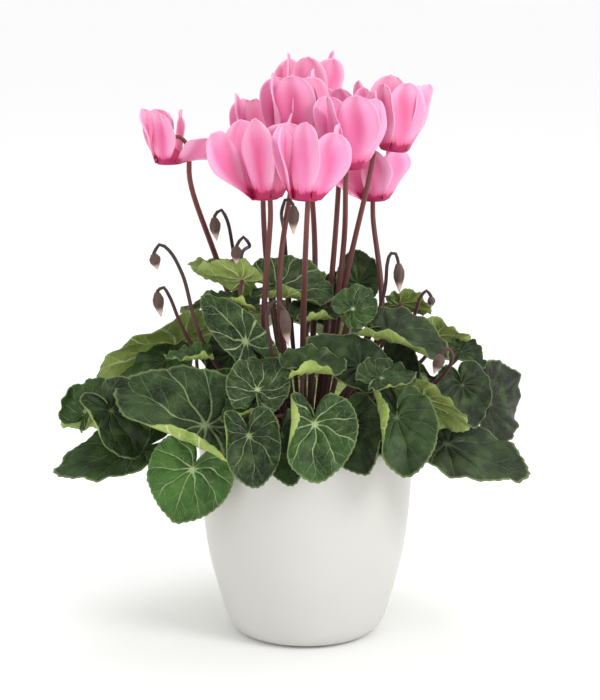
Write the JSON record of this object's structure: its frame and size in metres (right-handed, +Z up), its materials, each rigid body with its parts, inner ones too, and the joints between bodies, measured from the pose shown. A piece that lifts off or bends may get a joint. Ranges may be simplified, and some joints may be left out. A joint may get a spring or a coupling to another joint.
{
  "type": "potted cyclamen",
  "caption": "Flowering cyclamen in a plain tapered round pot: a mound of heart-shaped leaves, slender stalks, hooked buds and nodding swept-back blooms.",
  "frame": {"origin": "centre of the pot's flat foot, on the surface it stands on", "axes": "+Z up along the pot's axis; -Y is the front that the picture shows; +X is the viewer's right"},
  "size_m": [0.3007, 0.2274, 0.37],
  "materials": {
    "pot_ceramic": "plain white, satin",
    "potting_soil": "dark loose potting soil",
    "stalk": "red-brown, finely downy",
    "petal": "soft pink with a magenta mouth",
    "leaf": "dark green with silver-green veins, pale lime below"
  },
  "bodies": {
    "root": {"bloom_back_left": "petal", "bloom_front": "petal", "bloom_front_left": "petal", "bloom_left": "petal", "bloom_middle": "petal", "bloom_right": "petal", "bloom_right_front": "petal", "bloom_right_low": "petal", "bloom_right_middle": "petal", "bloom_top": "petal", "crown": "stalk", "leaf_back_left_low": "leaf", "leaf_back_left_mid": "leaf", "leaf_back_low_middle": "leaf", "leaf_back_low_right": "leaf", "leaf_back_mid_far": "leaf", "leaf_back_mid_left": "leaf", "leaf_back_mid_right": "leaf", "leaf_back_top": "leaf", "leaf_big_left": "leaf", "leaf_centre": "leaf", "leaf_centre_lobe": "leaf", "leaf_cup_high": "leaf", "leaf_cup_low": "leaf", "leaf_curl_top": "leaf", "leaf_far_left": "leaf", "leaf_hang": "leaf", "leaf_inner_back": "leaf", "leaf_inner_left": "leaf", "leaf_inner_right": "leaf", "leaf_left_bright": "leaf", "leaf_left_cup": "leaf", "leaf_left_dark": "leaf", "leaf_left_face": "leaf", "leaf_left_tip": "leaf", "leaf_left_under": "leaf", "leaf_lime_top": "leaf", "leaf_pointed": "leaf", "leaf_right_back": "leaf", "leaf_right_dark": "leaf", "leaf_right_far": "leaf", "leaf_right_lime": "leaf", "leaf_right_shelf": "leaf", "leaf_right_small": "leaf", "leaf_right_tip": "leaf", "leaf_rim_centre": "leaf", "leaf_rim_dark": "leaf", "leaf_rim_mid_left": "leaf", "leaf_rim_right": "leaf", "leaf_rim_shade": "leaf", "leaf_rolled_right": "leaf", "leaf_round_right": "leaf", "leaf_slant": "leaf", "leaf_small_left": "leaf", "leaf_top_centre": "leaf", "leaf_top_left": "leaf", "leaf_top_right": "leaf", "leaf_up_right": "leaf", "pot": "pot_ceramic", "soil": "potting_soil"}
  },
  "joints": []
}
